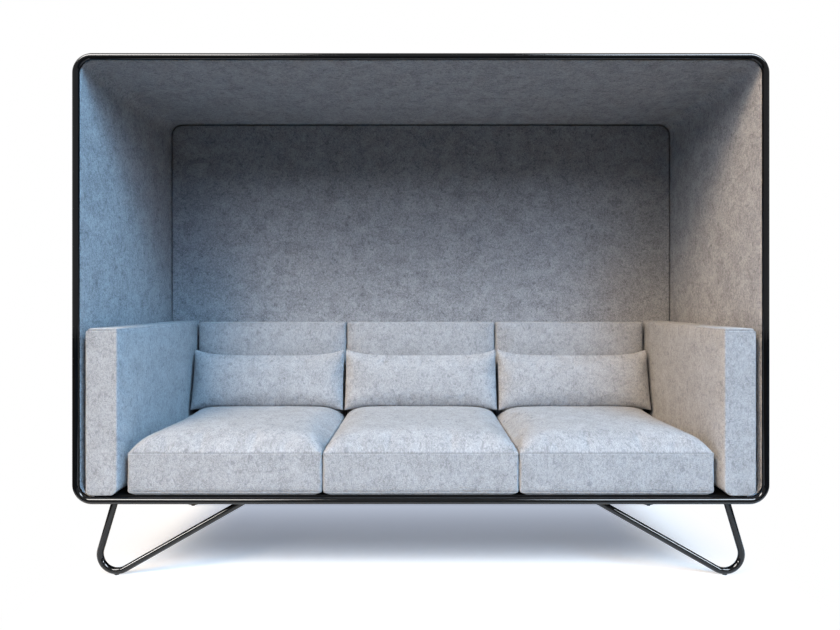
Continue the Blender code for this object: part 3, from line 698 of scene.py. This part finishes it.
for side, sign in SIDES:
    low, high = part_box(f"{side}_arm")
    radii = [ARM_INNER_FOOT, ARM_OUTER_FOOT, ARM_INNER_TOP, ARM_OUTER_TOP]
    if sign < 0:
        radii = [ARM_OUTER_FOOT, ARM_INNER_FOOT, ARM_OUTER_TOP, ARM_INNER_TOP]
    low.x, high.x = sorted((sign * ARM_INNER, sign * ARM_OUTER))
    low.y, low.z = ARM_FRONT, ARM_BOTTOM
    rim = [ARM_EDGE * share for share in EDGE_SHARES]
    bends = rim + [distance for radius in radii for distance in near_corner(radius, 5)]
    seam_lines = [ARM_SEAM_DROP + ARM_SEAM_WIDTH * step for step in (-1, -0.5, 0, 0.5, 1, 2)]
    puff_lines = [ARM_PUFF_RUN * share for share in (0.3, 0.5, 0.8, 1.2)]
    bm, _ = cloth_box([
        places(low.x, high.x, ARM_PITCH, bends),
        places(low.y, high.y, ARM_PITCH, rim + puff_lines),
        places(low.z, high.z, ARM_PITCH, bends + seam_lines)], drift=sign)
    round_off(bm, low, high, radii, ARM_EDGE)
    bm.normal_update()
    middle = (low + high) / 2
    reach = (high - low) / 2
    moves = []
    for vert in bm.verts:
        out = vert.normal
        v, w = [min(1, abs(vert.co[axis] - middle[axis]) / reach[axis]) for axis in (1, 2)]
        fullness = (1 - v ** 6) * (1 - w ** 6) if abs(out.x) > SIDE_FACING else 0
        move = ARM_SWELL * (fullness - 1) * abs(out.x)
        if out.x * sign < -SIDE_FACING:
            behind = (vert.co.y - low.y) / ARM_PUFF_RUN
            move += ARM_PUFF * (1 - w ** 10) * (1 - math.exp(-behind))
        seam = (high.z - ARM_SEAM_DROP - vert.co.z) / ARM_SEAM_WIDTH
        if abs(out.z) < EDGE_FACING and out.x * sign < EDGE_FACING:
            move -= ARM_SEAM_DEPTH * math.exp(-seam * seam)
        move += LUMP * noise.noise(vert.co / LUMP_SIZE)
        moves.append(out * move)
    for vert, move in zip(bm.verts, moves):
        vert.co += move
    arm = put(f"{side}_padded_arm", meshed(f"{side}_padded_arm", bm), cushion_felt)
    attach(arm, "frame")
    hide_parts(f"{side}_arm")

# Back cushions: foam blocks in sewn felt covers, standing on the floor board against the panel. The
# cover is cut a little full, so the face swells and turns quickly back at the edges.
SEATS = ("left", "middle", "right")
BACK_CUSHION_EDGE = 0.010
BACK_CUSHION_START = 0.012  # how far the face starts behind its finished place
BACK_CUSHION_PITCH = 0.014
BACK_CUSHION_SLACK = 0.012
BACK_CUSHION_TURN = 0.008  # how far the ends of the face turn back, and over what width
BACK_CUSHION_BAND = 0.030
BACK_CUSHION_DRIFT = 3.3  # how far apart the cushions are cut from the felt
FILL_PRESSURE = 4.0
FILL_FRAMES = 20
FILL_QUALITY = 5


def fill(pad, held, slack, most):
    """Fills a sewn cover: air swells its cloth between the seams that are held. The cloth is cut
    full by the slack, and the foam stops each point after the most that it may move."""
    seams = pad.vertex_groups.new(name="seams")
    seams.add(held, 1.0, "REPLACE")
    cloth = pad.modifiers.new("cover", "CLOTH")
    cloth.settings.quality = FILL_QUALITY
    cloth.settings.vertex_group_mass = seams.name
    cloth.settings.use_pressure = True
    cloth.settings.uniform_pressure_force = FILL_PRESSURE
    cloth.settings.shrink_min = -slack
    cloth.settings.effector_weights.gravity = 0
    cloth.collision_settings.use_collision = False
    cloth.point_cache.frame_start = 1
    cloth.point_cache.frame_end = FILL_FRAMES
    for step in range(1, FILL_FRAMES + 1):
        bpy.context.scene.frame_set(step)
    swollen = pad.evaluated_get(bpy.context.evaluated_depsgraph_get()).data
    moves = [new.co - old.co for new, old in zip(swollen.vertices, pad.data.vertices)]
    pad.modifiers.remove(cloth)
    pad.vertex_groups.remove(seams)
    bpy.context.scene.frame_set(1)
    for vert, move in zip(pad.data.vertices, moves):
        if move.length > 0:
            vert.co += move * (most * math.tanh(move.length / most) / move.length)


def keep_between(pad, low, high):
    """Keeps a pad inside its own space, where its neighbours press it flat."""
    for vert in pad.data.vertices:
        for axis in range(3):
            vert.co[axis] = min(max(vert.co[axis], low[axis]), high[axis])


def smooth_cloth(pad):
    """One subdivision, as the cloth's last finish."""
    finer = pad.modifiers.new("finer", "SUBSURF")
    finer.levels = 1
    finer.render_levels = 1


for index, place_name in enumerate(SEATS):
    low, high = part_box(f"{place_name}_back_cushion")
    start = low + Vector((0, BACK_CUSHION_START, 0))
    rim = [BACK_CUSHION_EDGE * share for share in (0.15, 0.45, 1, 2)]
    bm, _ = cloth_box([
        places(low.x, high.x, BACK_CUSHION_PITCH, rim),
        places(start.y, high.y, BACK_CUSHION_PITCH, rim),
        places(low.z, high.z, BACK_CUSHION_PITCH, rim)], drift=BACK_CUSHION_DRIFT * index)
    round_off(bm, start, high, [BACK_CUSHION_EDGE] * 4, BACK_CUSHION_EDGE)
    held = []
    for number, vert in enumerate(bm.verts):
        depth, _ = inside(vert.co.xz, low.xz, high.xz, [BACK_CUSHION_EDGE] * 4)
        if vert.co.y > start.y + 10 * TINY or depth < BACK_CUSHION_EDGE:
            held.append(number)
        if vert.co.y < start.y + BACK_CUSHION_EDGE:
            end = min(vert.co.x - low.x, high.x - vert.co.x)
            vert.co.y += BACK_CUSHION_TURN * max(0, 1 - end / BACK_CUSHION_BAND) ** 2
    cushion = put(f"{place_name}_back_pad", meshed(f"{place_name}_back_pad", bm), cushion_felt)
    fill(cushion, held, BACK_CUSHION_SLACK, BACK_CUSHION_START)
    keep_between(cushion, low, high)
    smooth_cloth(cushion)
    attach(cushion, "frame")
    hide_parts(f"{place_name}_back_cushion")

# Seat cushions: foam in boxed felt covers with a crowned top, laid loose on the floor board. The
# top is sewn to the sides with one seam, and the base with another just above the floor.
SEAT_RIM = 0.134
SEAT_BASE_SEAM = 0.011
SEAT_FOOT = (0.021, 0.004)  # how far the base draws in below its seam, at the sides and in front
SEAT_CORNER = 0.006
SEAT_PITCH = 0.013
SEAT_START = 0.0002  # how far the sides start inside their finished place
SEAT_FRONT = -0.373
SEAT_END = 0.937
SEAT_CLOSE = 0.0015  # how far the covers swell into the joint between neighbours
SEAT_CROWN_START = 0.046
SEAT_SLACK = 0.012
SEAT_SWELL = 0.022
SEAM_DEPTH = 0.0018
SEAM_LIP = 0.0018
# Painted shade in the top and base seams: the share of black-grey mixed into the felt there
TOP_SEAM_SHADE = 0.35
BASE_SEAM_SHADE = 0.2
SEAT_LINES = (SEAM_LIP, 0.0035, SEAT_CORNER, 0.010, 0.018)  # from each side
SEAT_FOOT_ROWS = (0, 0.004, 0.008)  # heights, as the next three
SEAT_LOW_ROW = 0.021
SEAT_SIDE_FROM = 0.030
SEAT_SIDE_TO = SEAT_RIM - 0.009
SEAT_DRIFT = 5.1
for index, place_name in enumerate(SEATS):
    low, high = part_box(f"{place_name}_seat_cushion")
    low.y = SEAT_FRONT
    low.x, high.x = max(low.x - SEAT_CLOSE, -SEAT_END), min(high.x + SEAT_CLOSE, SEAT_END)
    start = Vector((SEAT_START, SEAT_START, 0))
    inner_low, inner_high = low + start, high - start
    seam_rows = [SEAT_BASE_SEAM + SEAM_LIP * step for step in (-1, 0, 1)]
    heights = [*SEAT_FOOT_ROWS, *seam_rows, SEAT_LOW_ROW]
    heights += between(SEAT_SIDE_FROM, SEAT_SIDE_TO, SEAT_PITCH)
    heights += [SEAT_RIM - 3 * SEAM_LIP, SEAT_RIM - SEAM_LIP, SEAT_RIM]
    base_row, top_row = heights.index(SEAT_BASE_SEAM), len(heights) - 1
    bm, grid = cloth_box([
        places(inner_low.x, inner_high.x, SEAT_PITCH, SEAT_LINES),
        places(inner_low.y, inner_high.y, SEAT_PITCH, SEAT_LINES),
        [low.z + height for height in heights]], drift=SEAT_DRIFT * index)
    bm.verts.index_update()
    middle = (low + high) / 2
    reach = (inner_high - inner_low) / 2
    held, seam_shades = [], []
    for key, vert in grid.items():
        point = vert.co.xy
        depth, out = inside(point, inner_low.xy, inner_high.xy, [SEAT_CORNER] * 4)
        if depth < 0:
            point += out * depth
            depth = 0
        seam = depth < TINY and key[2] in (base_row, top_row)
        u = min(1, abs(point.x - middle.x) / reach.x)
        v = (point.y - middle.y) / reach.y
        if key[2] == top_row:
            vert.co.z += SEAT_CROWN_START * (1 - u ** 16) * (1 - min(1, abs(v)) ** 16)
        if key[2] < base_row:
            turn = (1 - heights[key[2]] / SEAT_BASE_SEAM) ** 1.5
            for axis in range(2):
                point[axis] -= (point[axis] - middle[axis]) / reach[axis] * SEAT_FOOT[axis] * turn
        if seam:
            point -= out * SEAM_DEPTH
            vert.co.z -= SEAM_DEPTH * (key[2] == top_row)
            seam_shades.append((vert.index, TOP_SEAM_SHADE if key[2] == top_row else BASE_SEAM_SHADE))
        if key[2] <= base_row + 1 or key[2] >= top_row - 1 and depth < 1.5 * SEAM_LIP:
            held.append(vert.index)
        vert.co.x, vert.co.y = point
    cushion = put(f"{place_name}_seat_pad", meshed(f"{place_name}_seat_pad", bm), cushion_felt)
    # the seams' painted shade goes into a point attribute that the felt reads
    seam_shade = cushion.data.attributes.new("seam_shade", "FLOAT", "POINT")
    for number, shade in seam_shades:
        seam_shade.data[number].value = shade
    fill(cushion, held, SEAT_SLACK, SEAT_SWELL)
    rim_z = low.z + SEAT_RIM
    peak = max(vert.co.z for vert in cushion.data.vertices)
    for vert in cushion.data.vertices:
        if vert.co.z > rim_z:
            vert.co.z = rim_z + (vert.co.z - rim_z) * (high.z - rim_z) / (peak - rim_z)
    keep_between(cushion, low, high)
    smooth_cloth(cushion)
    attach(cushion, f"{place_name}_seat")
    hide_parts(f"{place_name}_seat_cushion")

# Lumbar pillows: feather-filled felt pillows of two pieces sewn edge to edge, loose on the seats
# and leaning on the back cushions, their corners drawn out to small points.
PILLOW_RIM = 0.0016
PILLOW_LEAN = math.radians(12)
PILLOW_PITCH = 0.011
PILLOW_HEIGHT = 0.238
PILLOW_TOP_DIP = 0.025
PILLOW_SIDE_DIP = 0.002
PILLOW_DROOP = 0.012
PILLOW_FRONT = 0.042
PILLOW_REAR = 0.036
PILLOW_START = 0.8  # share of its thickness before it is filled
PILLOW_SLACK = 0.012
PILLOW_SWELL = 0.016
PILLOW_CLEARANCE = 0.0012
PILLOW_LINES = (0.003, 0.008, 0.016)  # from each edge
PILLOW_BEFORE = 0.044  # from the rear of its space to its middle
PILLOW_DRIFT = 7.7
PRESS_REACH = 0.1


def press(pad, others, clearance):
    """Flattens a pad where it lies on others, a clearance off them."""
    graph = bpy.context.evaluated_depsgraph_get()
    for other in others:
        skin = BVHTree.FromObject(other, graph)
        for vert in pad.data.vertices:
            spot, out, _, _ = skin.find_nearest(vert.co, PRESS_REACH)
            if spot and (vert.co - spot).dot(out) < clearance:
                vert.co = spot + out * clearance


for index, place_name in enumerate(SEATS):
    low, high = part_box(f"{place_name}_lumbar_pillow")
    half_x, half_z = (high.x - low.x) / 2, PILLOW_HEIGHT / 2
    bm, _ = cloth_box([
        places(-half_x, half_x, PILLOW_PITCH, PILLOW_LINES),
        [-PILLOW_RIM, PILLOW_RIM],
        places(-half_z, half_z, PILLOW_PITCH, PILLOW_LINES)], drift=PILLOW_DRIFT * index)
    held = []
    for number, vert in enumerate(bm.verts):
        u, v = vert.co.x / half_x, vert.co.z / half_z
        if max(abs(u), abs(v)) > 1 - TINY:
            held.append(number)
        swell = PILLOW_REAR if vert.co.y > 0 else PILLOW_FRONT
        fullness = math.sqrt(max(0, (1 - u ** 8) * (1 - v ** 6)))
        vert.co.y += math.copysign((PILLOW_START * swell - PILLOW_RIM) * fullness, vert.co.y)
        vert.co.x *= 1 - PILLOW_SIDE_DIP / half_x * (1 - v * v)
        if v > 0:
            vert.co.z -= v * PILLOW_TOP_DIP * (1 - abs(u) ** 5)
        else:
            vert.co.z += v * PILLOW_DROOP * u ** 6
    pillow = put(f"{place_name}_felt_pillow", meshed(f"{place_name}_felt_pillow", bm), cushion_felt)
    fill(pillow, held, PILLOW_SLACK, PILLOW_SWELL)
    thickest = [max(way * vert.co.y for vert in pillow.data.vertices) for way in (-1, 1)]
    for vert in pillow.data.vertices:
        vert.co.y *= PILLOW_REAR / thickest[1] if vert.co.y > 0 else PILLOW_FRONT / thickest[0]
    seat_z = low.z + (half_z + PILLOW_DROOP) * math.cos(PILLOW_LEAN) + PILLOW_RIM
    centre = Vector(((low.x + high.x) / 2, high.y - PILLOW_BEFORE, seat_z))
    pillow.data.transform(Matrix.Translation(centre) @ Matrix.Rotation(-PILLOW_LEAN, 4, "X"))
    under = [bpy.data.objects[f"{place_name}_{kind}_pad"] for kind in ("seat", "back")]
    press(pillow, under, PILLOW_CLEARANCE)
    smooth_cloth(pillow)
    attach(pillow, f"{place_name}_lumbar")
    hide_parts(f"{place_name}_lumbar_pillow")

# Studio: a white floor that keeps the sofa's shadow, white all round for the camera, and softboxes
# on both sides in front, warm on the left and cool on the right, as in the photograph.
FLOOR_REACH = 14
floor_mesh = bpy.data.meshes.new("studio_floor")
corners = [(x * FLOOR_REACH, y * FLOOR_REACH, 0) for x, y in ((-1, -1), (1, -1), (1, 1), (-1, 1))]
floor_mesh.from_pydata(corners, [], [(0, 1, 2, 3)])
white, tree, shader = new_material("white_studio_paper")
tree.nodes.remove(shader)
seen = add(tree, "ShaderNodeLightPath").outputs
place = add(tree, "ShaderNodeTexCoord").outputs["Object"]
# The shadow is kept on a patch under the sofa, and for the camera the paper is blank white beyond
# it. The light that the object gets back from the floor comes from the width of the paper.
SHADOW_HALF = (0.72, 0.9, 0)
PAPER_HALF = (1.4, 0.75, 0)
FADE = 0.45
spread = add(tree, "ShaderNodeVectorMath", {0: place}, operation="ABSOLUTE")
masks = []
for half in (SHADOW_HALF, PAPER_HALF):
    past = add(tree, "ShaderNodeVectorMath", {0: spread.outputs[0], 1: half}, operation="SUBTRACT")
    past = add(tree, "ShaderNodeVectorMath", {0: past.outputs[0], 1: (0, 0, 0)},
               operation="MAXIMUM")
    reach = add(tree, "ShaderNodeVectorMath", {0: past.outputs[0]}, operation="LENGTH")
    masks.append(add(tree, "ShaderNodeMapRange", {
        "Value": reach.outputs["Value"], "From Max": FADE, "To Min": 1, "To Max": 0},
        interpolation_type="SMOOTHSTEP").outputs[0])
shadowed, papered = masks
pale = add(tree, "ShaderNodeMath", {0: papered, 1: seen["Is Camera Ray"]}, operation="MAXIMUM")
shown = add(tree, "ShaderNodeMix", {0: pale.outputs[0], 6: srgb("#3C3C3C"), 7: srgb("#F6F6F6")},
            data_type="RGBA")
paper = add(tree, "ShaderNodeBsdfDiffuse", {"Color": shown.outputs[2]})
# Painted light: for the camera only, a bluish glow lifts the floor's shadow, more at the rear.
back = add(tree, "ShaderNodeSeparateXYZ", {"Vector": place}).outputs["Y"]
painted_lift_ramp = add(tree, "ShaderNodeMapRange", {
    "Value": back, "From Min": -0.05, "From Max": 0.3, "To Min": 0.55, "To Max": 1.5})
lift = add(tree, "ShaderNodeMath", {0: painted_lift_ramp.outputs[0], 1: seen["Is Camera Ray"]},
           operation="MULTIPLY")
painted_glow = add(tree, "ShaderNodeEmission", {"Color": srgb("#939AA8"), "Strength": lift.outputs[0]})
lit = add(tree, "ShaderNodeAddShader", {0: paper.outputs[0], 1: painted_glow.outputs[0]})
far = add(tree, "ShaderNodeMath", {0: seen["Is Camera Ray"], 1: shadowed},
          operation="SUBTRACT", use_clamp=True)
blank = add(tree, "ShaderNodeEmission", {"Color": srgb("#FFFFFF"), "Strength": 1.0})
whole = add(tree, "ShaderNodeMixShader", {
    0: far.outputs[0], 1: lit.outputs[0], 2: blank.outputs[0]})
tree.links.new(whole.outputs[0], tree.nodes["Material Output"].inputs["Surface"])
floor = put("studio_floor", floor_mesh, white)

# The world is white for the camera, dimmer in gloss, and gives almost no light of its own.
world = bpy.data.worlds.new("studio")
bpy.context.scene.world = world
world.use_nodes = True
tree = world.node_tree
seen = add(tree, "ShaderNodeLightPath").outputs
AMBIENT = 0.01
GLOSS_WHITE = 0.38
through = add(tree, "ShaderNodeMath", {
    0: seen["Is Camera Ray"], 1: seen["Is Transmission Ray"]}, operation="MAXIMUM")
gloss = add(tree, "ShaderNodeMath", {
    0: seen["Is Glossy Ray"], 1: GLOSS_WHITE, 2: AMBIENT}, operation="MULTIPLY_ADD")
strength = add(tree, "ShaderNodeMath", {0: through.outputs[0], 1: gloss.outputs[0]},
               operation="MAXIMUM")
sky = tree.nodes["Background"]
sky.inputs["Color"].default_value = srgb("#FFFFFF")
tree.links.new(strength.outputs[0], sky.inputs["Strength"])

# The sheens and strips show only as lines of light on the tubes, the strips on the legs. The side
# lamps graze into the opening and leave out the outer felt. The fills stand behind, for the sides
# and the rear. Neither lights the floor. A lamp's row ends with what it leaves out.
SOFTBOX = (4.0, 3.0)
SHEEN = (5.6, 3.0)
GRAZING = (3.2, 3.0)
STRIP = (3.4, 0.7)
LAMP_REACH = 9.0
SHEEN_REACH = 8.8
outer_felt = bpy.data.objects["sleeve_cover"]
STAND = Vector((0, -0.4, 1.0))
AIM = Vector((0, -0.4, 0.9))
for name, azimuth, elevation, colour, power, size, lights, skips in (
        ("warm_high_softbox", -43, 43, "#FFE2BF", 990, SOFTBOX, True, []),
        ("warm_low_softbox", -30, 27, "#FFF8F0", 264, SOFTBOX, True, []),
        ("warm_sheen", -43, 43, "#FFFBF7", 1150, SHEEN, False, []),
        ("warm_strip", -62, 17, "#FFFBF7", 360, STRIP, False, [ring]),
        ("left_side", -88, 10, "#F6F4FF", 420, GRAZING, True, [floor, outer_felt]),
        ("left_fill", -125, 30, "#FFFFFF", 520, SOFTBOX, True, [floor]),
        ("cool_high_softbox", 43, 43, "#9ED6FF", 917, SOFTBOX, True, []),
        ("cool_low_softbox", 30, 27, "#B8D7FF", 284, SOFTBOX, True, []),
        ("cool_sheen", 43, 43, "#E4F1FF", 1120, SHEEN, False, []),
        ("cool_strip", 62, 17, "#E4F1FF", 360, STRIP, False, [ring]),
        ("right_side", 88, 10, "#AADAFF", 530, GRAZING, True, [floor, outer_felt]),
        ("right_fill", 125, 30, "#FFFFFF", 520, SOFTBOX, True, [floor])):
    across, up = math.radians(azimuth), math.radians(elevation)
    way = Vector((math.sin(across) * math.cos(up), -math.cos(across) * math.cos(up), math.sin(up)))
    lamp = bpy.data.lights.new(name, "AREA")
    lamp.shape = "RECTANGLE"
    lamp.size, lamp.size_y = size
    lamp.color = srgb(colour)[:3]
    lamp.energy = power
    holder = bpy.data.objects.new(name, lamp)
    holder.location = STAND + (LAMP_REACH if lights else SHEEN_REACH) * way
    holder.rotation_euler = (AIM - holder.location).to_track_quat("-Z", "Y").to_euler()
    holder.visible_diffuse, holder.visible_glossy = lights, not lights
    if skips:
        left_out = bpy.data.collections.new(f"left_out_of_{name}")
        for number, skipped in enumerate(skips):
            left_out.objects.link(skipped)
            left_out.collection_objects[number].light_linking.link_state = "EXCLUDE"
        holder.light_linking.receiver_collection = left_out
    bpy.context.scene.collection.objects.link(holder)

# Camera: level, in front of the middle of the sofa, at the height of the photograph's horizon. The
# picture is shifted by a few pixels, as the photograph is.
LENS = 26.0
SENSOR = 36.0
IMAGE_WIDTH = 840
SHIFT_PIXELS = (-0.8, -15.55)
CAMERA_BACK = 2.306
HORIZON = 0.8946
camera_data = bpy.data.cameras.new("camera")
camera_data.lens = LENS
camera_data.sensor_width = SENSOR
camera_data.shift_x, camera_data.shift_y = [pixels / IMAGE_WIDTH for pixels in SHIFT_PIXELS]
camera = bpy.data.objects.new("camera", camera_data)
camera.location = (0, -CAMERA_BACK, HORIZON)
camera.rotation_euler = (math.pi / 2, 0, 0)
bpy.context.scene.collection.objects.link(camera)
bpy.context.scene.camera = camera
bpy.context.scene.view_settings.view_transform = "Standard"
